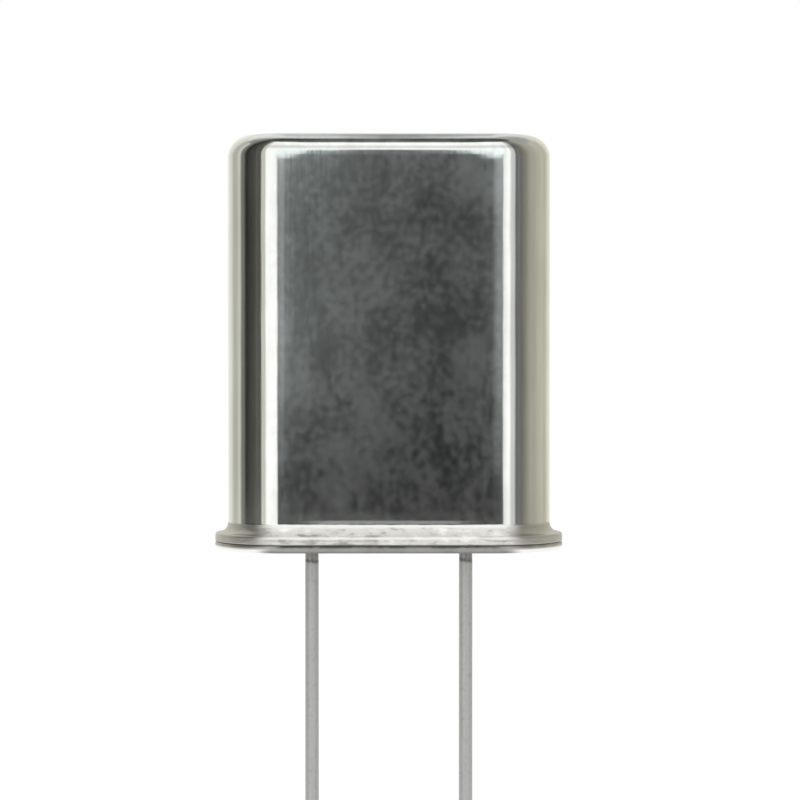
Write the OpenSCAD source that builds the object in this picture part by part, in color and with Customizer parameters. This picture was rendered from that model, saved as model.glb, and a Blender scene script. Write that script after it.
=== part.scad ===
// Quartz crystal unit in a tall through-hole metal can.
// Origin: seating plane of the base, midway between the two leads.
// +Z points up through the can, +X runs along the row of leads, the front faces -Y.

/* [Cover] */
// Length of the cover's body along the row of leads
cover_length = 10.2; // [9:0.1:13]
// Depth of the cover's body from front to back
cover_depth = 3.8; // [3.6:0.1:5]
// Height of the top of the cover above the seating plane
overall_height = 13.05; // [10:0.05:16]
// Thickness of the cover's drawn sheet
cover_sheet = 0.28; // [0.2:0.01:0.35]
// Outer radius of the rounded edge round the top
top_radius = 0.7; // [0.45:0.05:1.2]

/* [Flange] */
// How far the flange stands out beyond the cover's body
flange_reach = 0.4; // [0.35:0.01:0.8]
// Radius between the cover's wall and the top of its flange
flange_fillet = 0.34; // [0.1:0.01:0.35]
// Radius under the cover where its wall turns out into the flange
inside_bend = 0.18; // [0.05:0.01:0.25]
// Rounding of the flange's sheared outer edges
edge_radius = 0.08; // [0.02:0.01:0.1]

/* [Base] */
// Thickness of the base's stamped sheet
base_sheet = 0.25; // [0.2:0.01:0.35]
// Height of the base's raised platform above the seating plane
platform_height = 1.4; // [1:0.05:2]
// Rounding of the edge round the platform's top
platform_radius = 0.4; // [0.36:0.01:0.6]
// Clearance between the platform and the inside of the cover
cover_fit = 0.06; // [0.02:0.01:0.15]

/* [Eyelets and seals] */
// Diameter of the glass seal in each eyelet
seal_diameter = 1.5; // [1.1:0.05:1.8]
// Wall of each drawn eyelet
eyelet_wall = 0.18; // [0.1:0.01:0.2]
// Rounding of the eyelet's mouth on top of the platform
eyelet_mouth = 0.12; // [0.05:0.01:0.2]
// Height of the eyelet's lower rim above the seating plane
eyelet_lift = 0.32; // [0.32:0.01:0.5]
// Radius of the glass where it climbs the lead
meniscus = 0.3; // [0.1:0.01:0.31]

/* [Leads] */
// Distance between the leads' centres
lead_spacing = 4.88; // [4.4:0.01:5.2]
// Diameter of the tinned lead
lead_diameter = 0.43; // [0.3:0.01:0.6]
// Thickness of the tin on the lead
tin_thickness = 0.01; // [0.005:0.005:0.03]
// Length over which the tin thins out towards the glass
tin_feather = 0.51; // [0.3:0.01:1]
// Length of each lead below the seating plane
lead_length = 12.7; // [3:0.1:30]
// Length of each lead above the platform
lead_stub = 0.5; // [0.4:0.05:0.8]
// Chamfer on the lead's cut end
lead_chamfer = 0.05; // [0.01:0.01:0.08]

/* [Support clips] */
// Thickness of the clip strip
clip_sheet = 0.12; // [0.06:0.01:0.2]
// Width of the clip strip
clip_width = 1.2; // [0.8:0.05:1.8]
// Inner radius of the bend between the clip's foot and its upright
clip_bend = 0.25; // [0.1:0.01:0.4]
// How far the clip's foot runs inwards past the lead's centre
clip_foot = 0.4; // [0.3:0.05:0.8]
// Height of the clip's upright above its slot
clip_tip = 0.6; // [0.3:0.05:1.2]

/* [Quartz blank] */
// Thickness of the quartz blank
blank_thickness = 0.17; // [0.1:0.01:0.4]
// Least gap between the blank's rim and the cover's end wall
blank_end_gap = 0.82; // [0.7:0.01:1.5]
// Least gap above and below the blank
blank_top_gap = 1.3; // [0.5:0.05:3]
// Bevel round the blank's rim
blank_bevel = 0.03; // [0.01:0.01:0.04]
// How far the blank's rim reaches past the inner face of each clip
rim_grip = 0.25; // [0.15:0.01:0.4]
// Clearance between the blank and its slot in the clip
slot_clearance = 0.08; // [0.04:0.01:0.15]
// Bare margin of quartz round each electrode film
electrode_margin = 1.7; // [1:0.1:1.9]
// Width of the tab from the electrode to the rim
tab_width = 1; // [0.6:0.05:1.4]
// Thickness that stands for the electrode film
film_thickness = 0.02; // [0.01:0.005:0.03]
// Radius of each dab of cement
cement_radius = 0.5; // [0.3:0.05:0.6]

/* [Hidden] */
$fn = 96;
overshoot = 0.1;
left = -1;
right = 1;

// Cover: half depths are radii about the spine that joins the centres of the two round ends
spine = cover_length - cover_depth;
cover_radius = cover_depth / 2;
cover_bore = cover_radius - cover_sheet;
flange_radius = cover_radius + flange_reach;
flange_top = base_sheet + cover_sheet;
wall_fillet = min(flange_fillet, flange_reach);
inner_top_radius = max(top_radius - cover_sheet, edge_radius);
cover_ceiling = overall_height - cover_sheet;

// Base
platform_half = cover_bore - cover_fit;
recess_half = platform_half - base_sheet;
recess_top = platform_height - base_sheet;
recess_corner = max(platform_radius - base_sheet, edge_radius);

// Eyelets, seals and leads
seal_radius = seal_diameter / 2;
lead_radius = lead_diameter / 2;
wire_radius = lead_radius - tin_thickness;
lead_x = lead_spacing / 2;
lead_top = platform_height + lead_stub;
glass_top = platform_height - eyelet_mouth;
glass_bottom = eyelet_lift - meniscus;

// Blank and clips
clip_seat = lead_top + clip_sheet;
blank_room = cover_ceiling - clip_seat;
blank_by_length = spine + 2 * cover_bore - 2 * blank_end_gap;
blank_by_height = blank_room - 2 * blank_top_gap;
blank_radius = min(blank_by_length, blank_by_height) / 2;
blank_z = clip_seat + blank_room / 2;
clip_x = blank_radius - rim_grip;
slot_half_height = sqrt(blank_radius * blank_radius - clip_x * clip_x) + slot_clearance;
slot_half_width = blank_thickness / 2 + slot_clearance;
clip_top = blank_z + slot_half_height + clip_tip;
electrode_radius = blank_radius - electrode_margin;

// ---------- outline helpers ----------

// Fills the inside corner of two edges that meet at the origin with a concave radius
module corner_fill(radius) {
    difference() {
        square(radius);
        translate([radius, radius]) circle(radius);
    }
}

// Waste outside a rounded corner, drawn about the centre of its radius
module corner_waste(radius) {
    difference() {
        square(radius + overshoot);
        circle(radius);
    }
}

// Block from the axis out to a half width, between two heights, with its upper outer corner rounded
module rounded_block(half_width, low, high, radius) {
    difference() {
        translate([0, low]) square([half_width, high - low]);
        translate([half_width - radius, high - radius]) corner_waste(radius);
    }
}

// Carries a half section round the stadium outline: straight along the spine, turned at both ends
module around_spine() {
    translate([-spine / 2, 0, 0]) rotate([90, 0, 90]) linear_extrude(spine) {
        children();
        mirror([1, 0]) children();
    }
    for (turn = [0, 180])
        rotate([0, 0, turn]) translate([spine / 2, 0, 0]) rotate([0, 0, -90])
            rotate_extrude(angle = 180) children();
}

// ---------- enclosure ----------

module cover_outside() {
    rounded_block(cover_radius, base_sheet, overall_height, top_radius);
    rounded_block(flange_radius, base_sheet, flange_top, edge_radius);
    translate([cover_radius, flange_top]) corner_fill(wall_fillet);
}

module cover_inside() {
    rounded_block(cover_bore, base_sheet - overshoot, cover_ceiling, inner_top_radius);
    translate([cover_bore, base_sheet]) corner_fill(inside_bend);
}

// Deep-drawn can with its flange
module cover() {
    color("#b8b6ac")
        around_spine() difference() {
            cover_outside();
            cover_inside();
        }
}

module base_outside() {
    difference() {
        square([flange_radius, base_sheet]);
        translate([flange_radius - edge_radius, edge_radius]) mirror([0, 1]) corner_waste(edge_radius);
    }
    rounded_block(platform_half, 0, platform_height, platform_radius);
    translate([platform_half, base_sheet]) corner_fill(inside_bend);
}

module base_recess() {
    rounded_block(recess_half, -overshoot, recess_top, recess_corner);
    translate([recess_half, 0]) corner_fill(inside_bend + base_sheet);
}

// Section of the widening round an eyelet's bore, at its mouth
module eyelet_mouth_section() {
    translate([seal_radius, platform_height]) mirror([0, 1]) corner_fill(eyelet_mouth);
}

// Stamped header plate with its two drawn eyelets
module base() {
    color("#a9a79e")
        difference() {
            union() {
                around_spine() difference() {
                    base_outside();
                    base_recess();
                }
                for (side = [left, right])
                    translate([side * lead_x, 0, eyelet_lift])
                        cylinder(h = glass_top - eyelet_lift, r = seal_radius + eyelet_wall);
            }
            for (side = [left, right]) translate([side * lead_x, 0, 0]) {
                translate([0, 0, -overshoot]) cylinder(h = platform_height + 2 * overshoot, r = seal_radius);
                rotate_extrude() eyelet_mouth_section();
            }
        }
}

// ---------- seals and leads ----------

module glass_section() {
    translate([wire_radius, eyelet_lift]) square([seal_radius - wire_radius, glass_top - eyelet_lift]);
    translate([wire_radius, glass_top]) corner_fill(meniscus);
    translate([wire_radius, eyelet_lift]) mirror([0, 1]) corner_fill(meniscus);
}

// Glass bead between the eyelet and its lead
module glass_seal(side) {
    color("#3f4a4a")
        translate([side * lead_x, 0, 0]) rotate_extrude() glass_section();
}

// Half section of a lead, from its cut end up: chamfer, tinned length, feathered tin, bare wire
module lead_section() {
    polygon([
        [0, -lead_length], [lead_radius - lead_chamfer, -lead_length],
        [lead_radius, lead_chamfer - lead_length], [lead_radius, glass_bottom - tin_feather],
        [wire_radius, glass_bottom], [wire_radius, lead_top], [0, lead_top]
    ]);
}

// Straight round lead
module lead(side) {
    color("#a5a5a3")
        translate([side * lead_x, 0, 0]) rotate_extrude() lead_section();
}

// ---------- resonator ----------

module clip_section() {
    difference() {
        union() {
            translate([lead_x - clip_foot, lead_top])
                square([clip_x + clip_sheet - lead_x + clip_foot, clip_sheet]);
            translate([clip_x, lead_top]) square([clip_sheet, clip_top - lead_top]);
            translate([clip_x, clip_seat]) mirror([1, 0]) corner_fill(clip_bend);
        }
        translate([clip_x - clip_bend, clip_seat + clip_bend])
            mirror([0, 1]) corner_waste(clip_bend + clip_sheet);
    }
}

// Opening in the clip's upright that takes the blank's rim
module clip_slot() {
    slot_length = clip_sheet + 2 * overshoot;
    translate([clip_x - overshoot, -slot_half_width, blank_z - slot_half_height])
        cube([slot_length, 2 * slot_half_width, 2 * slot_half_height]);
    for (end = [-1, 1])
        translate([clip_x - overshoot, 0, blank_z + end * slot_half_height])
            rotate([0, 90, 0]) cylinder(h = slot_length, r = slot_half_width);
}

// Slotted spring strip: its foot lies on the lead's end, its upright holds the blank's rim
module support_clip(side) {
    color("#c2c0b8")
        mirror([side == left ? 1 : 0, 0, 0]) difference() {
            translate([0, clip_width / 2, 0]) rotate([90, 0, 0]) linear_extrude(clip_width) clip_section();
            clip_slot();
        }
}

module blank_section() {
    half = blank_thickness / 2;
    polygon([
        [0, -half], [blank_radius - blank_bevel, -half], [blank_radius, blank_bevel - half],
        [blank_radius, half - blank_bevel], [blank_radius - blank_bevel, half], [0, half]
    ]);
}

// Round quartz disc, facing front and back
module quartz_blank() {
    color("#dfe6e6")
        translate([0, 0, blank_z]) rotate([90, 0, 0]) rotate_extrude() blank_section();
}

module electrode_outline(tab_side) {
    circle(electrode_radius);
    intersection() {
        circle(blank_radius - blank_bevel);
        translate([min(tab_side * blank_radius, 0), -tab_width / 2]) square([blank_radius, tab_width]);
    }
}

// Metal film on one face of the blank, with a tab out to one clip
module electrode(face_y, tab_side) {
    color("#d9d9d6")
        translate([0, face_y, blank_z]) rotate([90, 0, 0])
            linear_extrude(film_thickness) electrode_outline(tab_side);
}

// Dab of cement through the slot, from the clip to the blank and its electrode's tab
module cement(side) {
    color("#b7b3a6")
        difference() {
            translate([side * (clip_x + clip_sheet / 2), 0, blank_z]) sphere(cement_radius);
            support_clip(side);
            quartz_blank();
            if (side == left) electrode_front();
            if (side == right) electrode_rear();
        }
}

// ---------- one module per node ----------

module glass_seal_left() { glass_seal(left); }
module glass_seal_right() { glass_seal(right); }
module lead_left() { lead(left); }
module lead_right() { lead(right); }
module support_clip_left() { support_clip(left); }
module support_clip_right() { support_clip(right); }
module electrode_front() { electrode(-blank_thickness / 2, left); }
module electrode_rear() { electrode(blank_thickness / 2 + film_thickness, right); }
module cement_left() { cement(left); }
module cement_right() { cement(right); }

cover();
base();
glass_seal_left();
glass_seal_right();
lead_left();
lead_right();
support_clip_left();
support_clip_right();
quartz_blank();
electrode_front();
electrode_rear();
cement_left();
cement_right();
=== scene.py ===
"""Quartz crystal unit in a tall metal can: the finished pieces, their finishes and the studio.

Everything is in metres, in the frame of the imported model: the origin is on the seating plane
midway between the two leads, +Z points up through the can and the front faces -Y.
"""
import math
from collections import namedtuple

import bmesh
import bpy
from bpy.props import FloatProperty, FloatVectorProperty, IntProperty, PointerProperty
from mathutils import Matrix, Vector


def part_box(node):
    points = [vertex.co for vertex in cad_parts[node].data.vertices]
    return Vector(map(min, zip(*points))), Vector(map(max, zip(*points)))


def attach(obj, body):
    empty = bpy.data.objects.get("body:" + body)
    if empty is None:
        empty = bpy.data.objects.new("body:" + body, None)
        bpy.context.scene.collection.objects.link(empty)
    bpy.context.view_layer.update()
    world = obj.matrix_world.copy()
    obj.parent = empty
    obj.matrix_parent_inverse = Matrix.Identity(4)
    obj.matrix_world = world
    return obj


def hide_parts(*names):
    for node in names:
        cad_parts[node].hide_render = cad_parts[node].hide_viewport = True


bl_info = {
    "name": "Crystal Oscillator",
    "version": (1, 0, 0),
    "blender": (4, 5, 0),
    "location": "View3D > Sidebar > Crystal",
    "description": "Makes the pieces, finishes and studio of a quartz crystal unit",
    "category": "Object",
}

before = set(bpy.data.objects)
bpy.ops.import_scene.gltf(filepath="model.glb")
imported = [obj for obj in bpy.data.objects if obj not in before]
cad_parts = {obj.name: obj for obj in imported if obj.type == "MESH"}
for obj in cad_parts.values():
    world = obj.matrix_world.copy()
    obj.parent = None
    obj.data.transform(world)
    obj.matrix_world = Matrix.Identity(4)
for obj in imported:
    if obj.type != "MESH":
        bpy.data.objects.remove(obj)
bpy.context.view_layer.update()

MM = 0.001
SIDES = ("left", "right")
WHITE = (1.0, 1.0, 1.0)

# Mesh lengths: how far roundings may overlap, how far a level edge may stray, how near points
# are made one, and how far from a rounding its guard points are.
TOUCH = 1e-6 * MM
LEVEL = 1e-3 * MM
CLOSING = 5e-4 * MM
GUARD = 0.02 * MM


# ---------- sizes that the frame gives ----------

def low(node):
    """Lowest corner of a solid's box."""
    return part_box(node)[0]


def high(node):
    """Highest corner of a solid's box."""
    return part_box(node)[1]


def middle(node):
    """Centre of a solid's box."""
    return (low(node) + high(node)) / 2


FLANGE_LENGTH = high("cover").x - low("cover").x
FLANGE_DEPTH = high("cover").y - low("cover").y
HALF_SPINE = (FLANGE_LENGTH - FLANGE_DEPTH) / 2
FLANGE_RADIUS = FLANGE_DEPTH / 2
COVER_TOP = high("cover").z
SEAM = low("cover").z
PLATFORM_TOP = high("base").z
SEAT = low("base").z
LEAD_RADIUS = (high("lead_left").x - low("lead_left").x) / 2
LEAD_TIP = low("lead_left").z
LEAD_TOP = high("lead_left").z
SEAL_RADIUS = (high("glass_seal_left").x - low("glass_seal_left").x) / 2
SEAL_BOTTOM = low("glass_seal_left").z
SEAL_TOP = high("glass_seal_left").z


# ---------- settings ----------

def length(name, description, default):
    """A length that a user may change."""
    return FloatProperty(name=name, description=description, default=default, min=0.0,
                         subtype="DISTANCE", unit="LENGTH", precision=5)


def share(name, description, default):
    """A plain number from 0 to 1."""
    return FloatProperty(name=name, description=description, default=default, min=0.0, max=1.0)


def turn(name, description, default):
    """An angle that a user may change."""
    return FloatProperty(name=name, description=description, default=math.radians(default),
                         subtype="ANGLE", unit="ROTATION")


def colour(name, description, default):
    """A linear colour."""
    return FloatVectorProperty(name=name, description=description, default=default, size=3,
                               min=0.0, max=1.0, subtype="COLOR")


class CoverSettings(bpy.types.PropertyGroup):
    """Sizes and finish of the drawn cover."""
    sheet: length("Sheet", "Thickness of the drawn sheet", 0.28 * MM)
    flange_reach: length("Flange reach", "How far the flange stands out past the wall", 0.4 * MM)
    top_radius: length("Top radius", "Rounding round the top of the can", 0.7 * MM)
    flange_fillet: length("Flange fillet", "Radius between the wall and the flange", 0.34 * MM)
    inside_bend: length("Inside bend", "Radius where the wall turns out into the flange", 0.18 * MM)
    edge_radius: length("Edge radius", "Rounding of the flange's upper edge", 0.08 * MM)
    seam_radius: length("Seam radius", "Rounding of the flange's edge along the seam", 0.045 * MM)
    metal: colour("Metal", "Nickel silver", (0.64, 0.652, 0.636))
    stain: colour("Stain", "Metal where handling has dulled it", (0.56, 0.568, 0.545))
    pressed: colour("Pressed metal", "Flange where the welding electrode pressed it",
                    (0.79, 0.78, 0.74))
    bruise: colour("Bruise", "Dark marks in the pressed flange", (0.42, 0.41, 0.375))
    # Burnished bright patches, and also painted highlight lines along the fillet and the flange's
    # rounded edge.
    burnish_and_highlight: colour("Burnish", "Bright border round the electrode's print", (0.98, 0.97, 0.94))
    # Painted shade: the flange is darker round the two ends; along the seam this colour gives
    # welding marks with painted shade.
    tarnish: colour("Tarnish", "Flange round the two ends", (0.43, 0.42, 0.385))
    polish: share("Polish roughness", "Roughness of the drawn wall", 0.11)
    satin: share("Satin roughness", "Roughness of the pressed flange", 0.62)
    frost: share("Frost", "Share of the pressed flange that scatters light", 0.62)
    bloom: share("Bloom", "Share of the wall's pale spots that scatters light", 0.09)


class BaseSettings(bpy.types.PropertyGroup):
    """Sizes and finish of the stamped base with its two eyelets."""
    platform_radius: length("Platform radius", "Rounding round the platform's top", 0.4 * MM)
    cover_fit: length("Cover fit", "Clearance between platform and cover", 0.06 * MM)
    upper_edge: length("Upper edge", "Rounding of the flange's edge along the seam", 0.07 * MM)
    lower_edge: length("Lower edge", "Rounding of the flange's underside edge", 0.11 * MM)
    eyelet_wall: length("Eyelet wall", "Wall of each drawn eyelet", 0.18 * MM)
    eyelet_mouth: length("Eyelet mouth", "Rounding of each eyelet's upper mouth", 0.12 * MM)
    eyelet_root: length("Eyelet root", "Radius where the eyelet leaves the recess", 0.08 * MM)
    eyelet_rim: length("Eyelet rim", "Rounding of the eyelet's lower rim", 0.04 * MM)
    metal: colour("Metal", "Nickel plate on the base", (0.45, 0.44, 0.415))
    # Dull patches at random, and painted shade in the recess and higher up.
    stain: colour("Stain", "Darker plate in the recess and along the edge", (0.36, 0.35, 0.33))
    # Painted highlight: pale plate round the two ends of the lower edge.
    bright: colour("Bright plate", "Plate round the two ends of the edge", (0.97, 0.96, 0.93))
    # Welding marks along the seam with painted shade in its groove, and painted shade along the
    # underside edge.
    soot_and_shade: colour("Soot", "Weld mark along the seam and the underside edge", (0.1, 0.1, 0.085))
    satin: share("Satin roughness", "Roughness of the stamped plate", 0.4)


class LeadSettings(bpy.types.PropertyGroup):
    """Sizes and finish of the leads and of the glass that seals them in."""
    tin_thickness: length("Tin thickness", "Thickness of the tin on the wire", 0.01 * MM)
    tin_feather: length("Tin feather", "Length over which the tin thins out", 0.51 * MM)
    chamfer: length("Chamfer", "Chamfer on the lead's cut end", 0.05 * MM)
    meniscus: length("Meniscus", "Radius of the glass where it climbs the wire", 0.3 * MM)
    tin: colour("Tin", "Dipped tin", (0.5, 0.5, 0.492))
    # Untinned wire under the glass, darker also as painted shade under the base.
    wire: colour("Wire", "Bare sealing wire", (0.24, 0.235, 0.22))
    glass: colour("Glass", "Sealing glass", (0.035, 0.055, 0.06))
    satin: share("Tin roughness", "Roughness of the tinned wire", 0.5)


class InsideSettings(bpy.types.PropertyGroup):
    """Finishes of the clips, the blank, its electrodes and the cement."""
    clip: colour("Clip", "Nickel clip strip", (0.6, 0.58, 0.54))
    quartz: colour("Quartz", "Lapped quartz", (0.82, 0.86, 0.86))
    film: colour("Film", "Evaporated silver", (0.9, 0.89, 0.86))
    cement: colour("Cement", "Silver filled cement", (0.42, 0.41, 0.38))


class StudioSettings(bpy.types.PropertyGroup):
    """Camera, floor, lamps and the cards that the metal mirrors."""
    camera_distance: length("Camera distance", "From the can's middle plane to the camera", 82 * MM)
    camera_height: share("Camera height", "Camera height as a share of the can's height", 0.481)
    camera_tilt: turn("Camera tilt", "Tilt of the camera's axis below the horizon", 1.1)
    camera_pan: turn("Camera pan", "Turn of the camera's axis to the right", 0.248)
    lens: FloatProperty(name="Lens", description="Focal length in millimetres", default=116.4,
                        min=1.0)
    card_distance: length("Card distance", "From the can to the studio cards", 140 * MM)
    floor_size: length("Floor size", "Side of the floor", 6.0)
    floor: colour("Floor", "Pale floor", (0.8, 0.8, 0.8))
    card_steps: IntProperty(name="Card steps", description="Divisions of a card's side",
                            default=24, min=1)


SETTINGS = {
    "crystal_cover": CoverSettings,
    "crystal_base": BaseSettings,
    "crystal_lead": LeadSettings,
    "crystal_inside": InsideSettings,
    "crystal_studio": StudioSettings,
}


# ---------- node writing ----------

class Signal:
    """One output of a node, which can stand in a sum."""

    def __init__(self, graph, socket):
        self.graph = graph
        self.socket = socket

    def math(self, operation, *others):
        return self.graph.math(operation, self, *others)

    def clamped(self):
        return self.graph.add("ShaderNodeClamp", {}, {"Value": self})

    def __add__(self, other):
        return self.math("ADD", other)

    def __radd__(self, other):
        return self.graph.math("ADD", other, self)

    def __sub__(self, other):
        return self.math("SUBTRACT", other)

    def __rsub__(self, other):
        return self.graph.math("SUBTRACT", other, self)

    def __mul__(self, other):
        return self.math("MULTIPLY", other)

    def __rmul__(self, other):
        return self.graph.math("MULTIPLY", other, self)

    def __truediv__(self, other):
        return self.math("DIVIDE", other)


class Graph:
    """Writes the nodes of one tree."""

    def __init__(self, tree):
        self.tree = tree
        tree.nodes.clear()

    def add(self, kind, settings=None, inputs=None, output=0):
        """One node of a kind: its settings, then its sockets' values or links.

        Colours are given as three numbers and get full alpha here.
        """
        node = self.tree.nodes.new(kind)
        for name, value in (settings or {}).items():
            if name == "stops":
                self._set_stops(node.color_ramp, value)
            else:
                setattr(node, name, value)
        for name, value in (inputs or {}).items():
            socket = self._find(node.inputs, name)
            if isinstance(value, Signal):
                self.tree.links.new(value.socket, socket)
            elif socket.type == "RGBA":
                socket.default_value = (*value, 1.0)
            else:
                socket.default_value = value
        if not node.outputs:
            return None
        return Signal(self, self._find(node.outputs, output))

    @staticmethod
    def _find(sockets, name):
        """A socket by its place, or by its name among those that are switched on."""
        if isinstance(name, int):
            return sockets[name]
        return next(socket for socket in sockets if socket.enabled and socket.name == name)

    @staticmethod
    def _set_stops(ramp, stops):
        """Writes a ramp's stops as places and grey levels."""
        while len(ramp.elements) < len(stops):
            ramp.elements.new(1.0)
        for element, (position, value) in zip(ramp.elements, stops):
            element.position = position
            element.color = (value, value, value, 1.0)

    def math(self, operation, *values):
        return self.add("ShaderNodeMath", {"operation": operation}, dict(enumerate(values)))

    def vector_math(self, operation, *values):
        return self.add("ShaderNodeVectorMath", {"operation": operation}, dict(enumerate(values)))

    def other(self, signal, output):
        """Another output of the node that a signal comes from."""
        return Signal(self, self._find(signal.socket.node.outputs, output))

    def mix(self, factor, first, second):
        """A colour between two colours."""
        return self.add("ShaderNodeMix", {"data_type": "RGBA"},
                        {"Factor": factor, "A": first, "B": second}, "Result")

    def step(self, value, start, end):
        """Rises smoothly from 0 to 1 as the value goes from start to end."""
        return self.add("ShaderNodeMapRange", {"interpolation_type": "SMOOTHSTEP"},
                        {"Value": value, "From Min": start, "From Max": end})


def shaded(rgb, factor, more=0.0):
    """A lighter or darker colour, kept below white."""
    return tuple(min(1.0, factor * value + more) for value in rgb)


class Finish(Graph):
    """A surface material, with the place on the piece in millimetres."""

    def __init__(self, name):
        self.material = bpy.data.materials.new(name)
        self.material.use_nodes = True
        super().__init__(self.material.node_tree)
        in_metres = self.add("ShaderNodeTexCoord", output="Object")
        self.place = self.vector_math("DIVIDE", in_metres, (MM, MM, MM))
        self.x = self.add("ShaderNodeSeparateXYZ", {}, {"Vector": self.place}, "X")
        self.y = self.other(self.x, "Y")
        self.z = self.other(self.x, "Z")

    def noise(self, size, detail=3.0, stretch=(1, 1, 1), shift=0.0):
        """Soft noise whose spots are about this many millimetres wide."""
        shares = tuple(value / size for value in stretch)
        scaled = self.vector_math("MULTIPLY", self.place, shares)
        moved = self.vector_math("ADD", scaled, (shift, shift, shift))
        return self.add("ShaderNodeTexNoise", {"noise_dimensions": "3D"},
                        {"Vector": moved, "Scale": 1.0, "Detail": detail, "Roughness": 0.55})

    def cells(self, scale):
        """Distance to the nearest of scattered points, this many along a millimetre."""
        return self.add("ShaderNodeTexVoronoi", {"feature": "F1"},
                        {"Vector": self.place, "Scale": scale}, "Distance")

    def ridge(self, value, at, width):
        """Rises to 1 where the value is at a place and falls off over a width each side."""
        return 1.0 - self.step((value - at).math("ABSOLUTE"), 0.0, width)

    def reach(self):
        """Distance from the spine that joins the centres of the round ends."""
        past = (self.x.math("ABSOLUTE") - HALF_SPINE / MM).math("MAXIMUM", 0.0)
        return (past * past + self.y * self.y).math("SQRT")

    def ends(self, start=0.35, end=1.0):
        """0 along the straight sides and 1 round the two ends, changing between two places.

        The places are in millimetres past the point where the round end begins.
        """
        round_end = HALF_SPINE / MM
        return self.step(self.x.math("ABSOLUTE"), round_end + start, round_end + end)

    def bump(self, height, depth, normal=None):
        """Normal of a surface whose height in millimetres is height times depth."""
        inputs = {"Strength": 1.0, "Distance": depth * MM, "Height": height}
        if normal is not None:
            inputs["Normal"] = normal
        return self.add("ShaderNodeBump", {}, inputs)

    def surface(self, colour, roughness, normal, others):
        """Adds the shader, its constants on its own sockets, and gives the material."""
        inputs = {"Base Color": colour, "Roughness": roughness, "Normal": normal, **others}
        shader = self.add("ShaderNodeBsdfPrincipled", {}, inputs)
        self.add("ShaderNodeOutputMaterial", {}, {"Surface": shader})
        return self.material


# ---------- finishes ----------

def flange_colour(look, settings, wall_foot, scuffs, mottle, at_ends):
    """Print of the welding electrode with burnished patches and painted highlight lines, painted
    shade round the two ends, and welding marks with painted shade along the seam.
    """
    seam = SEAM / MM
    edge_top = (SEAM + settings.sheet) / MM
    wear = 0.6 * scuffs + 0.4 * mottle
    flange = look.mix(look.step(wear, 0.36, 0.48), settings.burnish_and_highlight, settings.pressed)
    flange = look.mix(look.step(wear, 0.5, 0.65), flange, settings.bruise)
    crease = look.ridge(look.z, 0.5 * (seam + edge_top), 0.05) * look.step(mottle, 0.44, 0.56)
    flange = look.mix(0.5 * crease, flange, settings.bruise)
    # Painted highlight: pale lines along the fillet and along the flange's rounded upper edge.
    upper = look.ridge(look.z, wall_foot - 0.05, 0.09)
    lower = look.ridge(look.z, edge_top - 0.06, 0.07)
    flange = look.mix((upper + 0.8 * lower).clamped(), flange, settings.burnish_and_highlight)
    # Painted shade round the two ends.
    flange = look.mix(at_ends, flange, settings.tarnish)
    # Welding marks and painted shade along the seam, where the cover meets the base.
    weld_and_seam_shade = (1.0 - look.step(look.z, seam, seam + 0.05)) * (1.0 - 0.7 * at_ends)
    return look.mix(0.6 * weld_and_seam_shade, flange, settings.tarnish)


def cover_finish(settings):
    """Drawn nickel silver: bright mottled wall, fine draw lines, frosted pressed flange."""
    look = Finish("drawn_nickel_silver")
    wall_foot = (SEAM + settings.sheet + settings.flange_fillet) / MM
    wall_top = (COVER_TOP - settings.top_radius) / MM
    cloud = look.noise(3.2, 2.0)
    mottle = look.noise(1.1, 3.0, stretch=(1, 1, 0.75), shift=7.0)
    blotch = look.noise(0.24, 4.0, stretch=(1, 1, 0.85), shift=27.0)
    lines = look.noise(0.08, 2.0, stretch=(1, 1, 0.04), shift=3.0)
    long_lines = look.noise(0.3, 3.0, stretch=(1, 1, 0.15), shift=11.0)
    grain = look.noise(0.06, 3.0, shift=5.0)
    scuffs = look.noise(0.3, 2.0, stretch=(0.6, 0.6, 1.5), shift=17.0)

    # Spots on the two faces give way to streaks round the ends, which the draw polished.
    spots = 0.2 * cloud + 0.3 * mottle + 0.35 * blotch + 0.15 * long_lines
    streaks = 0.4 * cloud + 0.4 * long_lines + 0.2 * lines
    drawn_smooth = look.ends(0.1, 0.7)
    pattern = spots + (0.5 * streaks + 0.25 - spots) * drawn_smooth
    dulled = look.step(pattern, 0.41, 0.59)
    wall = look.mix(dulled, settings.metal, settings.stain)
    # 1 round the two ends, where the flange gets painted shade, less frost and less roughness.
    at_ends = look.ends()
    pressed = 1.0 - look.step(look.z + 0.05 * (scuffs - 0.5), wall_foot - 0.04, wall_foot + 0.01)
    base = look.mix(pressed, wall, flange_colour(look, settings, wall_foot, scuffs, mottle, at_ends))

    # A draw ring runs along the foot of each face, with a haze above it.
    ring = look.ridge(look.z, wall_foot + 0.09, 0.09) * (1.0 - look.ends(-1.5, -0.3))
    haze = look.ridge(look.z, wall_foot + 0.2, 0.35) * look.step(mottle, 0.48, 0.62)
    wall_roughness = settings.polish + 0.06 * (long_lines - 0.5) + 0.11 * ring
    flange_roughness = settings.satin + 0.2 * (scuffs - 0.5) - 0.27 * at_ends
    roughness = wall_roughness + (flange_roughness - wall_roughness) * pressed
    bloom = settings.bloom * (1.0 - dulled + haze) * (1.0 - 0.8 * drawn_smooth)
    frost = settings.frost * (1.0 - 0.8 * at_ends)
    metallic = 1.0 - bloom - (frost - bloom) * pressed

    # The faces wave a little, and fall back at their upper corners.
    waves = look.bump(cloud + 0.02 * blotch + 0.05 * ring, 0.014)
    beside = look.ridge(look.x.math("ABSOLUTE"), HALF_SPINE / MM, 0.7)
    corner = beside * look.ridge(look.z, wall_top + 0.17, 0.35)
    eased = look.bump(1.0 - corner, 0.007, waves)
    drawn = look.bump(lines, 0.0005, eased)
    rough = look.bump((grain + 2.0 * scuffs) * pressed, 0.006, drawn)
    return look.surface(base, roughness, rough, {"Metallic": metallic})


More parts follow.
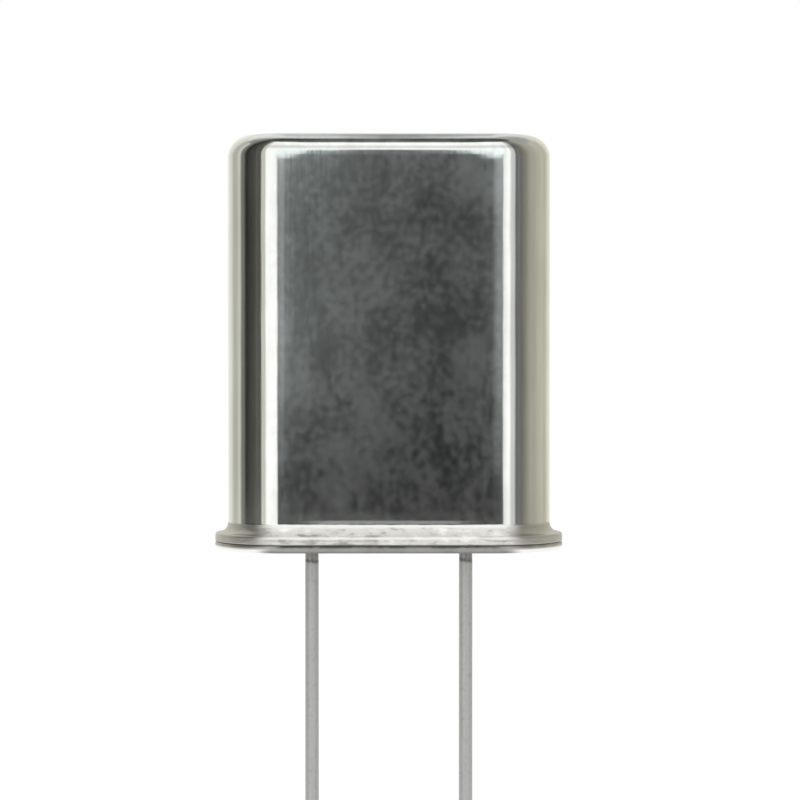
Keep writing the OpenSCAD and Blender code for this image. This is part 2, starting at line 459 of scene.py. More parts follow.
def base_finish(settings):
    """Stamped steel under dull nickel plate, with painted shade in the recess and along its edges,
    welding marks along the seam and a painted highlight round the two ends.
    """
    look = Finish("nickel_plated_steel")
    seam = SEAM / MM
    edge = FLANGE_RADIUS / MM
    rim = look.step(look.reach(), edge - 0.3, edge - 0.2)
    cloud = look.noise(1.6, 3.0, shift=2.0)
    patches = look.noise(0.3, 3.0, stretch=(0.7, 0.7, 1.6), shift=23.0)
    grain = look.noise(0.06, 3.0, shift=31.0)
    # Painted shade: the plate darkens from 0.3 mm upwards, in the recess and on the parts above it.
    recess = look.step(look.z, 0.3, 1.0)
    shade = (look.step(0.6 * cloud + 0.4 * patches, 0.4, 0.62) + 0.35 * recess).clamped()
    plate = look.mix(shade, settings.metal, settings.stain)
    # Painted highlight: the edge is pale round the two ends, low down.
    ends = look.ends() * rim
    plate = look.mix(ends * (1.0 - look.step(look.z, 0.1, 0.17)), plate, settings.bright)

    # Welding leaves dark marks along the seam, with painted shade in its groove, and less of both
    # round the ends.
    wander = 0.03 * (patches - 0.5)
    burnt = 0.85 + 0.4 * look.step(patches, 0.42, 0.6)
    sooty = 1.0 - 0.85 * look.ends(-0.2, 0.7)
    groove = look.step(look.z + wander, seam - 0.1, seam - 0.05) * sooty
    # Painted shade along the underside edge, left out round the two ends.
    underside = (1.0 - look.step(look.z + wander, 0.03, 0.13)) * (1.0 - ends)
    marks = (burnt * groove + 0.5 * underside).clamped() * rim
    base = look.mix(marks, plate, settings.soot_and_shade)
    roughness = settings.satin + 0.14 * (patches - 0.5) + 0.08 * (cloud - 0.5)
    fine = look.bump(grain, 0.002, look.bump(patches, 0.006))
    return look.surface(base, roughness, fine, {"Metallic": 1.0})


def lead_finish(settings):
    """Dipped tin over the sealing wire, which stays untinned close under the glass, where it is
    darkened also with painted shade under the base.
    """
    look = Finish("tinned_wire")
    bare_end = (SEAL_BOTTOM - settings.tin_feather) / MM
    ripples = look.noise(0.5, 2.0, stretch=(1, 1, 0.35), shift=4.0)
    lines = look.noise(0.03, 2.0, stretch=(1, 1, 0.04), shift=9.0)
    spots = look.noise(0.12, 3.0, shift=13.0)
    # Close under the glass the wire is untinned and darkened with painted shade under the base,
    # with a darker ring where the tin ends.
    edge = look.z + 0.3 * (ripples - 0.5)
    bare_and_shaded = look.step(edge, bare_end, bare_end + 0.08)
    tide_and_shade = look.ridge(edge, bare_end + 0.1, 0.08)
    oxide_and_shade = (bare_and_shaded * (0.7 + 0.6 * (spots - 0.5)) + 0.22 * look.step(spots, 0.5, 0.75)).clamped()
    base = look.mix(oxide_and_shade, settings.tin, settings.wire)
    ringed = look.mix(0.5 * tide_and_shade, base, shaded(settings.wire, 0.4))
    roughness = settings.satin + 0.1 * (spots - 0.5) - 0.08 * bare_and_shaded
    drawn = look.bump(lines, 0.001, look.bump(ripples, 0.008))
    return look.surface(ringed, roughness, drawn, {"Metallic": 1.0})


def glass_finish(settings):
    """Dark sealing glass, smooth from the furnace, with small bubbles under the skin."""
    look = Finish("sealing_glass")
    cloud = look.noise(0.5, 3.0, shift=6.0)
    bubbles = look.cells(9.0)
    speck = 1.0 - look.step(bubbles, 0.1, 0.22)
    pale = shaded(settings.glass, 2.6, more=0.02)
    base = look.mix((0.35 * cloud + 0.5 * speck).clamped(), settings.glass, pale)
    roughness = 0.08 + 0.1 * cloud
    skin = look.bump(cloud - 0.3 * speck, 0.01)
    return look.surface(base, roughness, skin, {"IOR": 1.52, "Coat Weight": 0.3})


def clip_finish(settings):
    """Rolled nickel strip with rolling lines."""
    look = Finish("nickel_strip")
    lines = look.noise(0.05, 2.0, stretch=(0.08, 1, 0.08), shift=8.0)
    cloud = look.noise(0.8, 3.0, shift=12.0)
    darker = shaded(settings.clip, 0.82)
    base = look.mix(look.step(cloud, 0.4, 0.65), settings.clip, darker)
    roughness = 0.24 + 0.12 * (lines - 0.5) + 0.06 * cloud
    return look.surface(base, roughness, look.bump(lines, 0.001), {"Metallic": 1.0})


def quartz_finish(settings):
    """Lapped quartz: frosted, with milky patches."""
    look = Finish("lapped_quartz")
    cloud = look.noise(2.0, 2.0, shift=14.0)
    lapping = look.noise(0.04, 4.0, shift=15.0)
    milky = shaded(settings.quartz, 1.12)
    base = look.mix(look.step(cloud, 0.35, 0.65), settings.quartz, milky)
    roughness = 0.38 + 0.2 * (lapping - 0.5)
    return look.surface(base, roughness, look.bump(lapping, 0.002),
                        {"IOR": 1.54, "Transmission Weight": 0.35})


def film_finish(settings):
    """Evaporated silver over the lapped face, yellowed in patches."""
    look = Finish("silver_film")
    cloud = look.noise(1.2, 3.0, shift=16.0)
    lapping = look.noise(0.04, 4.0, shift=15.0)
    yellowed = (0.86, 0.8, 0.68)
    tarnish = tuple(value * left for value, left in zip(settings.film, yellowed))
    base = look.mix(look.step(cloud, 0.48, 0.72), settings.film, tarnish)
    roughness = 0.3 + 0.12 * (lapping - 0.5) + 0.08 * cloud
    return look.surface(base, roughness, look.bump(lapping, 0.002), {"Metallic": 1.0})


def cement_finish(settings):
    """Cured cement full of silver flake."""
    look = Finish("silver_cement")
    flake = look.cells(28.0)
    cloud = look.noise(0.25, 3.0, shift=18.0)
    bright = shaded(settings.cement, 1.5)
    shine = 1.0 - look.step(flake, 0.15, 0.45)
    base = look.mix((0.6 * shine + 0.4 * cloud).clamped(), settings.cement, bright)
    roughness = 0.62 - 0.2 * shine
    return look.surface(base, roughness, look.bump(cloud, 0.03), {"Metallic": 0.25 + 0.5 * shine})


# ---------- sections ----------

def rounded_section(corners, steps=12, guard=GUARD):
    """Points of a half section from corners of (radius from the spine, height, rounding).

    Each rounding becomes an arc, and a guard point just before and after it keeps the
    straight stretches flat when the surface is shaded smooth.
    """
    places = [Vector(corner[:2]) for corner in corners]
    reaches = [0.0]
    for before, here, after, corner in zip(places, places[1:], places[2:], corners[1:]):
        half = (before - here).angle(after - here) / 2
        reaches.append(corner[2] / math.tan(half))
    reaches.append(0.0)
    guards = []
    for i in range(len(places) - 1):
        straight = (places[i + 1] - places[i]).length - reaches[i] - reaches[i + 1]
        if straight < -TOUCH:
            raise ValueError(f"roundings {i} and {i + 1} overlap by {-straight} m")
        guards.append(min(guard, max(straight, 0.0) / 3))
    points = [places[0]]
    for i in range(1, len(places) - 1):
        back = (places[i - 1] - places[i]).normalized()
        on = (places[i + 1] - places[i]).normalized()
        middle_way = (back + on).normalized()
        radius = corners[i][2]
        centre = places[i] + middle_way * (radius / math.sin(back.angle(on) / 2))
        start = places[i] + back * reaches[i] - centre
        bend = start.angle_signed(places[i] + on * reaches[i] - centre)
        points.append(centre + start + back * guards[i - 1])
        for step in range(steps + 1):
            angle = -bend * step / steps
            turned = Vector((start.x * math.cos(angle) - start.y * math.sin(angle),
                             start.x * math.sin(angle) + start.y * math.cos(angle)))
            points.append(centre + turned)
        points.append(places[i] + on * (reaches[i] + guards[i]))
    points.append(places[-1])
    return points


def section_mesh(name, points):
    """The points of a half section as a mesh line in the XZ plane."""
    mesh = bpy.data.meshes.new(name)
    edges = [(i, i + 1) for i in range(len(points) - 1)]
    mesh.from_pydata([(p.x, 0.0, p.y) for p in points], edges, [])
    return mesh


# ---------- the sweep ----------

# Steps round each end and along each side.
END_STEPS = 96
SIDE_STEPS = 24


def sweep_tree():
    """Carries a half section round a stadium outline: two straight sides and two round ends."""
    name = "carry_round_the_spine"
    if name in bpy.data.node_groups:
        return bpy.data.node_groups[name]
    tree = bpy.data.node_groups.new(name, "GeometryNodeTree")
    for kind, title, default in (
        ("Geometry", "Section", None),
        ("Float", "Half Spine", HALF_SPINE),
        ("Int", "Steps Round An End", END_STEPS),
        ("Int", "Steps Along A Side", SIDE_STEPS),
        ("Vector", "Centre", None),
        ("Float", "Closing Distance", CLOSING),
        ("Material", "Finish", None),
    ):
        socket = tree.interface.new_socket(name=title, in_out="INPUT",
                                           socket_type="NodeSocket" + kind)
        if default is not None:
            socket.default_value = default
    tree.interface.new_socket(name="Piece", in_out="OUTPUT", socket_type="NodeSocketGeometry")
    graph = Graph(tree)
    entry = graph.add("NodeGroupInput", output="Section")
    half_spine = graph.other(entry, "Half Spine")
    end_steps = graph.other(entry, "Steps Round An End")
    side_steps = graph.other(entry, "Steps Along A Side")
    points = graph.add("GeometryNodeAttributeDomainSize", {"component": "MESH"},
                       {"Geometry": entry}, "Point Count")
    stations = 2.0 * end_steps + 2.0 * side_steps
    grid = graph.add("GeometryNodeMeshGrid", {}, {
        "Size X": 1.0,
        "Size Y": 1.0,
        "Vertices X": stations + 1.0,
        "Vertices Y": points,
    })
    index = graph.add("GeometryNodeInputIndex")
    station = (index / points).math("FLOOR")
    rank = index - station * points
    second_end = end_steps + side_steps
    turned = (station / end_steps).clamped() + ((station - second_end) / end_steps).clamped()
    angle = math.pi * (turned - 0.5)
    behind = ((station - end_steps) / side_steps).clamped()
    ahead = ((station - second_end - end_steps) / side_steps).clamped()
    spine_x = half_spine * (1.0 - 2.0 * behind + 2.0 * ahead)
    position = graph.add("GeometryNodeInputPosition")
    sample = graph.add("GeometryNodeSampleIndex", {"data_type": "FLOAT_VECTOR", "domain": "POINT"},
                       {"Geometry": entry, "Value": position, "Index": rank})
    reach = graph.add("ShaderNodeSeparateXYZ", {}, {"Vector": sample}, "X")
    height = graph.other(reach, "Z")
    place = graph.add("ShaderNodeCombineXYZ", {}, {
        "X": spine_x + reach * angle.math("COSINE"),
        "Y": reach * angle.math("SINE"),
        "Z": height,
    })
    moved = graph.vector_math("ADD", place, graph.other(entry, "Centre"))
    shaped = graph.add("GeometryNodeSetPosition", {}, {"Geometry": grid, "Position": moved})
    closed = graph.add("GeometryNodeMergeByDistance", {},
                       {"Geometry": shaped, "Distance": graph.other(entry, "Closing Distance")})
    smooth = graph.add("GeometryNodeSetShadeSmooth", {}, {"Geometry": closed, "Shade Smooth": True})
    real = graph.add("GeometryNodeRealizeInstances", {}, {"Geometry": smooth})
    finished = graph.add("GeometryNodeSetMaterial", {},
                         {"Geometry": real, "Material": graph.other(entry, "Finish")})
    graph.add("NodeGroupOutput", {}, {"Piece": finished})
    return tree


def link(obj):
    """Puts an object in the scene."""
    bpy.context.scene.collection.objects.link(obj)
    return obj


def sweep(name, points, finish, half_spine=HALF_SPINE, centre=(0, 0, 0),
          end_steps=END_STEPS, side_steps=SIDE_STEPS):
    """A plain mesh object swept from a half section."""
    obj = link(bpy.data.objects.new(name, section_mesh(name + "_section", points)))
    tree = sweep_tree()
    modifier = obj.modifiers.new("sweep", "NODES")
    modifier.node_group = tree
    values = {
        "Half Spine": half_spine,
        "Steps Round An End": end_steps,
        "Steps Along A Side": side_steps,
        "Centre": centre,
        "Finish": finish,
    }
    for item in tree.interface.items_tree:
        if item.in_out == "INPUT" and item.name in values:
            modifier[item.identifier] = values[item.name]
    depsgraph = bpy.context.evaluated_depsgraph_get()
    mesh = bpy.data.meshes.new_from_object(obj.evaluated_get(depsgraph), depsgraph=depsgraph)
    obj.modifiers.remove(modifier)
    section = obj.data
    obj.data = mesh
    bpy.data.meshes.remove(section)
    mesh.name = name
    return obj


def turn_about_lead(name, side, points, finish, steps):
    """A round piece on the axis of one lead, with steps in half a turn."""
    centre = (middle("lead_" + side).x, 0, 0)
    return sweep(name + side, points, finish, half_spine=0.0, centre=centre,
                 end_steps=steps, side_steps=1)


def join(name, parts):
    """One object from several that share a finish."""
    whole = bmesh.new()
    for part in parts:
        whole.from_mesh(part.data)
    mesh = parts[0].data
    whole.to_mesh(mesh)
    whole.free()
    for part in parts[1:]:
        bpy.data.objects.remove(part)
    parts[0].name = name
    mesh.name = name
    return parts[0]


def fill_plates(obj, heights):
    """Closes the open loops at each height with one flat plate that keeps its holes."""
    mesh = bmesh.new()
    mesh.from_mesh(obj.data)
    for height in heights:
        rims = [e for e in mesh.edges if e.is_boundary
                and all(abs(v.co.z - height) < LEVEL for v in e.verts)]
        made = bmesh.ops.triangle_fill(mesh, use_beauty=True, edges=rims)
        for face in made["geom"]:
            if isinstance(face, bmesh.types.BMFace):
                face.smooth = True
    mesh.to_mesh(obj.data)
    mesh.free()


def face_outwards(obj):
    """Turns every face outwards, and raises an error if the mesh isn't closed."""
    mesh = bmesh.new()
    mesh.from_mesh(obj.data)
    bmesh.ops.recalc_face_normals(mesh, faces=mesh.faces)
    open_edges = sum(1 for e in mesh.edges if len(e.link_faces) != 2)
    mesh.to_mesh(obj.data)
    mesh.free()
    if open_edges:
        raise RuntimeError(f"{obj.name} has {open_edges} open edges")


def finish_piece(obj, node):
    """Hands a finished piece over to the frame in the place of its solid."""
    face_outwards(obj)
    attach(obj, "root")
    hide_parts(node)


# ---------- pieces ----------

# Flat stretch past each rounding where a plate is filled in, and rounding of a soft edge.
PLATE_STUB = 0.05 * MM
SOFT = 0.02 * MM

# Steps in half a turn.
SEAL_STEPS = 32
LEAD_STEPS = 24


class CRYSTAL_OT_cover(bpy.types.Operator):
    """Makes the drawn cover"""
    bl_idname = "crystal.cover"
    bl_label = "Cover"

    def execute(self, context):
        settings = context.scene.crystal_cover
        wall = FLANGE_RADIUS - settings.flange_reach
        bore = wall - settings.sheet
        flange_top = SEAM + settings.sheet
        fillet = min(settings.flange_fillet, settings.flange_reach - settings.edge_radius)
        points = rounded_section([
            (0, COVER_TOP, 0),
            (wall, COVER_TOP, settings.top_radius),
            (wall, flange_top, fillet),
            (FLANGE_RADIUS, flange_top, settings.edge_radius),
            (FLANGE_RADIUS, SEAM, settings.seam_radius),
            (bore, SEAM, settings.inside_bend),
            (bore, COVER_TOP - settings.sheet, settings.top_radius - settings.sheet),
            (0, COVER_TOP - settings.sheet, 0),
        ], steps=20)
        cover = sweep("can_cover", points, cover_finish(settings))
        finish_piece(cover, "cover")
        return {"FINISHED"}


class CRYSTAL_OT_base(bpy.types.Operator):
    """Makes the stamped base with its two eyelets"""
    bl_idname = "crystal.base"
    bl_label = "Base"

    def execute(self, context):
        settings = context.scene.crystal_base
        cover = context.scene.crystal_cover
        finish = base_finish(settings)
        sheet = SEAM - SEAT
        platform = FLANGE_RADIUS - cover.flange_reach - cover.sheet - settings.cover_fit
        recess = platform - sheet
        ceiling = PLATFORM_TOP - sheet
        corner = settings.platform_radius - sheet
        skirt = rounded_section([
            (platform - settings.platform_radius - PLATE_STUB, PLATFORM_TOP, 0),
            (platform, PLATFORM_TOP, settings.platform_radius),
            (platform, SEAM, cover.inside_bend),
            (FLANGE_RADIUS, SEAM, settings.upper_edge),
            (FLANGE_RADIUS, SEAT, settings.lower_edge),
            (recess, SEAT, cover.inside_bend + sheet),
            (recess, ceiling, corner),
            (recess - corner - PLATE_STUB, ceiling, 0),
        ])
        outer = SEAL_RADIUS + settings.eyelet_wall
        rim = SEAL_BOTTOM + context.scene.crystal_lead.meniscus
        eyelet = rounded_section([
            (SEAL_RADIUS + settings.eyelet_mouth + PLATE_STUB, PLATFORM_TOP, 0),
            (SEAL_RADIUS, PLATFORM_TOP, settings.eyelet_mouth),
            (SEAL_RADIUS, rim, settings.eyelet_rim),
            (outer, rim, settings.eyelet_rim),
            (outer, ceiling, settings.eyelet_root),
            (outer + settings.eyelet_root + PLATE_STUB, ceiling, 0),
        ], steps=8)
        parts = [sweep("base_skirt", skirt, finish)]
        for side in SIDES:
            parts.append(turn_about_lead("base_eyelet_", side, eyelet, finish, SEAL_STEPS))
        base = join("can_base", parts)
        fill_plates(base, (PLATFORM_TOP, ceiling))
        finish_piece(base, "base")
        return {"FINISHED"}


class CRYSTAL_OT_seals(bpy.types.Operator):
    """Makes the glass seal in each eyelet"""
    bl_idname = "crystal.seals"
    bl_label = "Glass seals"

    def execute(self, context):
        settings = context.scene.crystal_lead
        wire = LEAD_RADIUS - settings.tin_thickness
        bottom = SEAL_BOTTOM + settings.meniscus
        top = SEAL_TOP - settings.meniscus
        half_way = (bottom + top) / 2
        lip = wire + SOFT / 2
        crisp = SOFT / 10
        points = rounded_section([
            (wire, half_way, 0),
            (wire, SEAL_BOTTOM, crisp),
            (lip, SEAL_BOTTOM, crisp),
            (lip, bottom, settings.meniscus - SOFT),
            (SEAL_RADIUS, bottom, SOFT),
            (SEAL_RADIUS, top, SOFT),
            (lip, top, settings.meniscus - SOFT),
            (lip, SEAL_TOP, crisp),
            (wire, SEAL_TOP, crisp),
            (wire, half_way, 0),
        ], steps=10, guard=crisp / 2)
        finish = glass_finish(settings)
        for side in SIDES:
            seal = turn_about_lead("seal_", side, points, finish, SEAL_STEPS)
            finish_piece(seal, "glass_seal_" + side)
        return {"FINISHED"}


class CRYSTAL_OT_leads(bpy.types.Operator):
    """Makes the two leads"""
    bl_idname = "crystal.leads"
    bl_label = "Leads"

    def execute(self, context):
        settings = context.scene.crystal_lead
        wire = LEAD_RADIUS - settings.tin_thickness
        points = rounded_section([
            (0, LEAD_TIP, 0),
            (LEAD_RADIUS - settings.chamfer, LEAD_TIP, SOFT),
            (LEAD_RADIUS, LEAD_TIP + settings.chamfer, SOFT),
            (LEAD_RADIUS, SEAL_BOTTOM - settings.tin_feather, SOFT),
            (wire, SEAL_BOTTOM, SOFT),
            (wire, LEAD_TOP, SOFT),
            (0, LEAD_TOP, 0),
        ], steps=6, guard=SOFT / 2)
        finish = lead_finish(settings)
        for side in SIDES:
            lead = turn_about_lead("wire_", side, points, finish, LEAD_STEPS)
            finish_piece(lead, "lead_" + side)
        return {"FINISHED"}


class CRYSTAL_OT_inside(bpy.types.Operator):
    """Gives the clips, blank, electrodes and cement their finishes"""
    bl_idname = "crystal.inside"
    bl_label = "Inside"

    def execute(self, context):
        settings = context.scene.crystal_inside
        finishes = {
            ("support_clip_left", "support_clip_right"): clip_finish(settings),
            ("quartz_blank",): quartz_finish(settings),
            ("electrode_front", "electrode_rear"): film_finish(settings),
            ("cement_left", "cement_right"): cement_finish(settings),
        }
        for nodes, finish in finishes.items():
            for node in nodes:
                for material_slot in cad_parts[node].material_slots:
                    material_slot.material = finish
        return {"FINISHED"}


# ---------- studio ----------

Card = namedtuple("Card", "name nearness tint across up")

# Brightness above the hood's arch, and the brightness that a ramp's 1.0 stands for.
WINDOW_GLOW = 1.65
BRIGHTEST = 4.0

# From its horizon down to its foot, in degrees, a card fades into the pale room.
CARD_HORIZON = -8
CARD_FOOT = -20
ROOM_GLOW = 1.0
ROOM_TINT = (0.96, 1.0, 0.99)

# The walls are even from their foot up to the ceiling.
CEILING = 67
EVEN = ((CARD_FOOT, 1.0), (CEILING, 1.0))

# Glow of the floor where it is seen, and share of the room's white that lights the scene.
FLOOR_LIFT = 0.3
ROOM_LIGHT = 0.55

# Width of the camera's sensor in millimetres.
SENSOR_WIDTH = 36.0

# Nearness is a share of the card distance. Angles are in degrees round the can: azimuths to
# the right of the front, elevations upwards. Across gives the brightness at azimuths, up the
# share of it at elevations.
CARDS = [
    Card("hood", 0.96, (0.92, 1.0, 1.01),
         ((-19, 0.29), (-12, 0.5), (-8.5, 0.51), (-5.5, 0.38), (-3.6, 0.265), (-2.8, 0.165),
          (0, 0.105), (1.2, 0.045), (2.1, 0.033), (3.4, 0.09), (6, 0.205), (12, 0.35),
          (17, 0.44), (24.6, 0.35)),
         ((CARD_FOOT, 0.03), (-5.3, 0.03), (-3.8, 0.34), (-1.5, 0.74), (0, 0.92), (3, 0.9),
          (4.8, 0.76), (5.8, 0.7), (6.8, 1.4), (9, 1.8), (13, 1.2), (29.5, 1.2))),
    Card("window", 1.0, (1.0, 1.0, 1.0),
         ((-41.5, WINDOW_GLOW), (22, WINDOW_GLOW), (25.5, 1.4), (30, 1.45), (33, WINDOW_GLOW),
          (37.5, WINDOW_GLOW), (38.5, 1.2), (40.5, 0.86), (45, 0.96), (47.7, 0.84),
          (48.4, 0.15), (52.5, 0.18), (55, 0.28), (57, 0.24), (60, 0.2)),
         ((CARD_FOOT, 1.0), (33, 1.0), (38, 0.7), (47, 0.7), (52, 0.98), (CEILING, 1.0))),
    Card("wall_left", 1.0, (1.01, 1.0, 0.9),
         ((-167, 1.08), (-160, 1.15), (-133, 1.02), (-122, 0.68), (-113, 0.67), (-103, 0.92),
          (-100, 0.83), (-98, 0.38), (-94, 0.23), (-89.5, 0.28), (-87, 0.08), (-83, 0.025),
          (-75, 0.07), (-65, 0.09), (-58, 0.165), (-53, 0.08), (-50.3, 0.14), (-49.5, 1.02),
          (-41.5, 0.76)),
         EVEN),
    Card("wall_right", 1.0, (1.01, 0.965, 0.82),
         ((60, 0.2), (70, 0.34), (82, 0.56), (93, 0.58), (100, 0.67), (114, 0.76), (127, 0.69),
          (143, 0.98), (167, 1.0)),
         EVEN),
    Card("wall_back", 1.0, (1.0, 1.0, 0.965),
         ((167, 1.0), (180, 0.97), (193, 1.08)),
         EVEN),
    Card("ceiling", 1.0, (1.0, 1.0, 0.97),
         ((-95, 0.07), (-22, 0.07), (-13, 0.13), (-8, 0.075), (0, 0.17), (5, 0.16), (9, 0.05),
          (20, 0.06), (95, 0.07)),
         ((CEILING, 1.6), (73, 1.4), (79, 1.0), (90, 1.0))),
    Card("ceiling_back", 0.96, (0.98, 1.0, 0.97),
         ((95, 0.5), (140, 0.55), (155, 0.95), (168, 1.05), (171, 0.95), (173, 0.72), (176, 0.52),
          (180, 0.35), (183, 0.62), (187, 0.9), (192, 1.05), (197, 1.2), (225, 1.1), (242, 0.5),
          (265, 0.3)),
         ((45, 1.2), (52, 1.0), (80, 1.0), (85, 0.45), (90, 0.4))),
]

# The top of the hood is an arch, with the window above it.
Arch = namedtuple("Arch", "card half_width foot crown softness")
HOOD_ARCH = Arch("hood", 3.8, 9.0, 29.5, 1.0)


def over_arch(graph, azimuth, elevation):
    """0 under the hood's arch and 1 above it."""
    width = azimuth / HOOD_ARCH.half_width
    squared = width * width
    rise = (1.0 - squared * squared).math("MAXIMUM", 0.0)
    top = HOOD_ARCH.foot + (HOOD_ARCH.crown - HOOD_ARCH.foot) * rise
    return graph.step(elevation, top - HOOD_ARCH.softness, top)


def card_level(graph, share_along, stops):
    """Brightness at a share of the way along a list of stops, and the angle there."""
    start = stops[0][0]
    span = stops[-1][0] - start
    shares = [((angle - start) / span, value / BRIGHTEST) for angle, value in stops]
    ramp = graph.add("ShaderNodeValToRGB", {"stops": shares}, {"Fac": share_along}, "Color")
    return BRIGHTEST * ramp, start + span * share_along


def card_finish(card):
    """A glowing card whose brightness changes across it and up it."""
    material = bpy.data.materials.new(card.name)
    material.use_nodes = True
    material.cycles.emission_sampling = "NONE"
    graph = Graph(material.node_tree)
    place = graph.add("ShaderNodeTexCoord", output="UV")
    along = graph.add("ShaderNodeSeparateXYZ", {}, {"Vector": place}, "X")
    across_level, azimuth = card_level(graph, along, card.across)
    up_level, elevation = card_level(graph, graph.other(along, "Y"), card.up)
    level = across_level * up_level
    if card.name == HOOD_ARCH.card:
        above = over_arch(graph, azimuth, elevation)
        level = level + (WINDOW_GLOW - level) * above
    below = 1.0 - graph.step(elevation, CARD_FOOT, CARD_HORIZON)
    level = level + (ROOM_GLOW - level) * below
    tint = graph.mix(below, card.tint, ROOM_TINT)
    glow = graph.add("ShaderNodeEmission", {}, {"Color": tint, "Strength": level})
    graph.add("ShaderNodeOutputMaterial", {}, {"Surface": glow})
    return material


def angles_along(stops, steps):
    """Even angles in radians from a list's first stop to its last."""
    first = stops[0][0]
    span = stops[-1][0] - first
    return [math.radians(first + span * i / steps) for i in range(steps + 1)]


def add_card(settings, centre, card):
    """A patch of a dome round the can, between two azimuths and two elevations."""
    steps = settings.card_steps
    distance = settings.card_distance * card.nearness
    patch = bmesh.new()
    uv = patch.loops.layers.uv.new("place")
    rows = []
    for azimuth in angles_along(card.across, steps):
        row = []
        for elevation in angles_along(card.up, steps):
            row.append(patch.verts.new(centre + towards(azimuth, elevation) * distance))
        rows.append(row)
    for i in range(steps):
        for j in range(steps):
            corners = [(i, j), (i + 1, j), (i + 1, j + 1), (i, j + 1)]
            face = patch.faces.new([rows[a][b] for a, b in corners])
            for loop, (a, b) in zip(face.loops, corners):
                loop[uv].uv = (a / steps, b / steps)
    mesh = bpy.data.meshes.new(card.name)
    patch.to_mesh(mesh)
    patch.free()
    mesh.materials.append(card_finish(card))
    obj = link(bpy.data.objects.new("card_" + card.name, mesh))
    for ray in ("camera", "diffuse", "transmission", "volume_scatter", "shadow"):
        setattr(obj, "visible_" + ray, False)


def towards(azimuth, elevation):
    """Direction at an azimuth to the right of the front and an elevation upwards."""
    return Vector((math.sin(azimuth) * math.cos(elevation),
                   -math.cos(azimuth) * math.cos(elevation),
                   math.sin(elevation)))


def seen_direct(graph):
    """1 for rays from the camera, from metal and from glass."""
    camera = graph.add("ShaderNodeLightPath", output="Is Camera Ray")
    both = camera.math("MAXIMUM", graph.other(camera, "Is Glossy Ray"))
    return both.math("MAXIMUM", graph.other(camera, "Is Transmission Ray"))


def floor_finish(settings):
    """Pale matt floor, lifted to the white of the background where it is seen."""
    material = bpy.data.materials.new("pale_floor")
    material.use_nodes = True
    graph = Graph(material.node_tree)
    matt = graph.add("ShaderNodeBsdfDiffuse", {}, {"Color": settings.floor})
    lift = graph.add("ShaderNodeEmission", {},
                     {"Color": WHITE, "Strength": FLOOR_LIFT * seen_direct(graph)})
    both = graph.add("ShaderNodeAddShader", {}, {0: matt, 1: lift})
    graph.add("ShaderNodeOutputMaterial", {}, {"Surface": both})
    return material


def add_floor(settings):
    """A square floor at the lead tips."""
    half = settings.floor_size / 2
    mesh = bpy.data.meshes.new("floor")
    corners = [(-half, -half), (half, -half), (half, half), (-half, half)]
    mesh.from_pydata([(x, y, LEAD_TIP) for x, y in corners], [], [(0, 1, 2, 3)])
    mesh.materials.append(floor_finish(settings))
    obj = link(bpy.data.objects.new("floor", mesh))


def add_world():
    """A white room: full white where it is seen, softer as a light."""
    world = bpy.data.worlds.new("white_room")
    world.use_nodes = True
    graph = Graph(world.node_tree)
    strength = ROOM_LIGHT + (1.0 - ROOM_LIGHT) * seen_direct(graph)
    glow = graph.add("ShaderNodeBackground", {}, {"Color": WHITE, "Strength": strength})
    graph.add("ShaderNodeOutputWorld", {}, {"Surface": glow})
    bpy.context.scene.world = world


def add_lamp(name, azimuth, elevation, strength, spread):
    """A broad far lamp at angles in degrees, kept out of mirror reflections."""
    lamp = bpy.data.lights.new(name, "SUN")
    lamp.energy = strength
    lamp.angle = math.radians(spread)
    obj = link(bpy.data.objects.new(name, lamp))
    source = towards(math.radians(azimuth), math.radians(elevation))
    obj.rotation_euler = source.to_track_quat("Z", "Y").to_euler()
    obj.visible_glossy = False


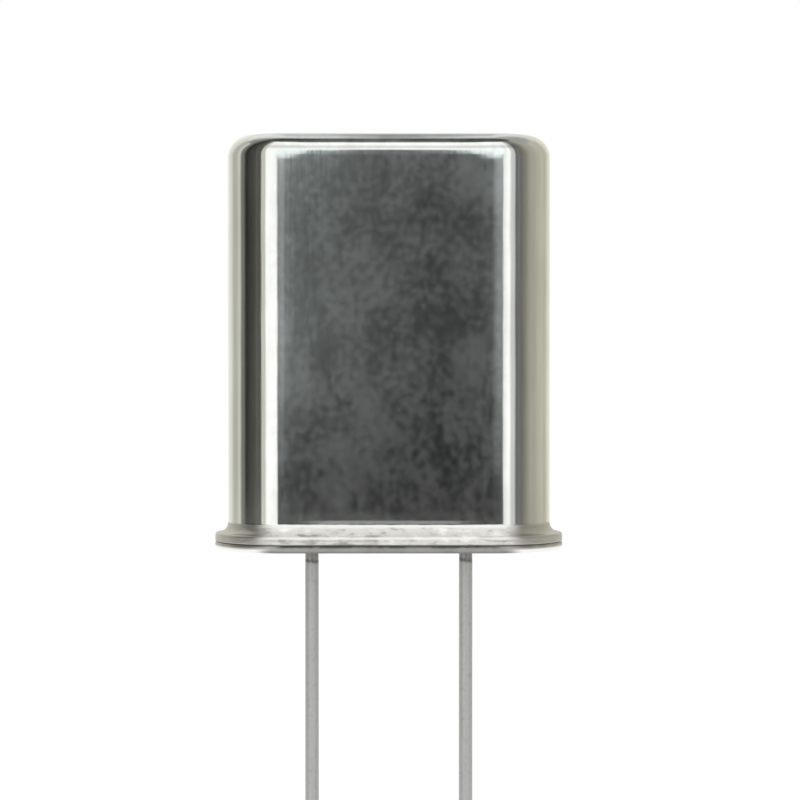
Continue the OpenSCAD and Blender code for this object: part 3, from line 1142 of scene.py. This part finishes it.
def add_camera(settings):
    """The camera, level with the middle of the can."""
    data = bpy.data.cameras.new("camera")
    data.lens = settings.lens
    data.sensor_width = SENSOR_WIDTH
    data.clip_start = settings.camera_distance / 50
    data.clip_end = settings.floor_size
    obj = link(bpy.data.objects.new("camera", data))
    obj.location = (0, -settings.camera_distance, settings.camera_height * COVER_TOP)
    back = towards(-settings.camera_pan, settings.camera_tilt)
    obj.rotation_euler = back.to_track_quat("Z", "Y").to_euler()
    bpy.context.scene.camera = obj


class CRYSTAL_OT_studio(bpy.types.Operator):
    """Makes the floor, the lamps, the cards and the camera"""
    bl_idname = "crystal.studio"
    bl_label = "Studio"

    def execute(self, context):
        settings = context.scene.crystal_studio
        context.scene.view_settings.view_transform = "Standard"
        add_camera(settings)
        add_floor(settings)
        add_world()
        centre = Vector((0, 0, (SEAT + COVER_TOP) / 2))
        for card in CARDS:
            add_card(settings, centre, card)
        add_lamp("key", azimuth=-35, elevation=55, strength=1.0, spread=40)
        add_lamp("fill", azimuth=40, elevation=40, strength=0.5, spread=60)
        return {"FINISHED"}


class CRYSTAL_PT_panel(bpy.types.Panel):
    """Lists the pieces and the studio"""
    bl_idname = "CRYSTAL_PT_panel"
    bl_label = "Crystal Oscillator"
    bl_space_type = "VIEW_3D"
    bl_region_type = "UI"
    bl_category = "Crystal"

    def draw(self, context):
        for operator in OPERATORS:
            self.layout.operator(operator.bl_idname)


OPERATORS = (
    CRYSTAL_OT_cover,
    CRYSTAL_OT_base,
    CRYSTAL_OT_seals,
    CRYSTAL_OT_leads,
    CRYSTAL_OT_inside,
    CRYSTAL_OT_studio,
)


def register():
    """Adds the settings, the operators and the panel."""
    for name, group in SETTINGS.items():
        bpy.utils.register_class(group)
        setattr(bpy.types.Scene, name, PointerProperty(type=group))
    for operator in OPERATORS:
        bpy.utils.register_class(operator)
    bpy.utils.register_class(CRYSTAL_PT_panel)


def unregister():
    """Takes away what register() added."""
    bpy.utils.unregister_class(CRYSTAL_PT_panel)
    for operator in reversed(OPERATORS):
        bpy.utils.unregister_class(operator)
    for name, group in SETTINGS.items():
        delattr(bpy.types.Scene, name)
        bpy.utils.unregister_class(group)


def main():
    """Makes everything in order."""
    register()
    bpy.ops.crystal.cover()
    bpy.ops.crystal.base()
    bpy.ops.crystal.seals()
    bpy.ops.crystal.leads()
    bpy.ops.crystal.inside()
    bpy.ops.crystal.studio()


if __name__ == "__main__":
    main()
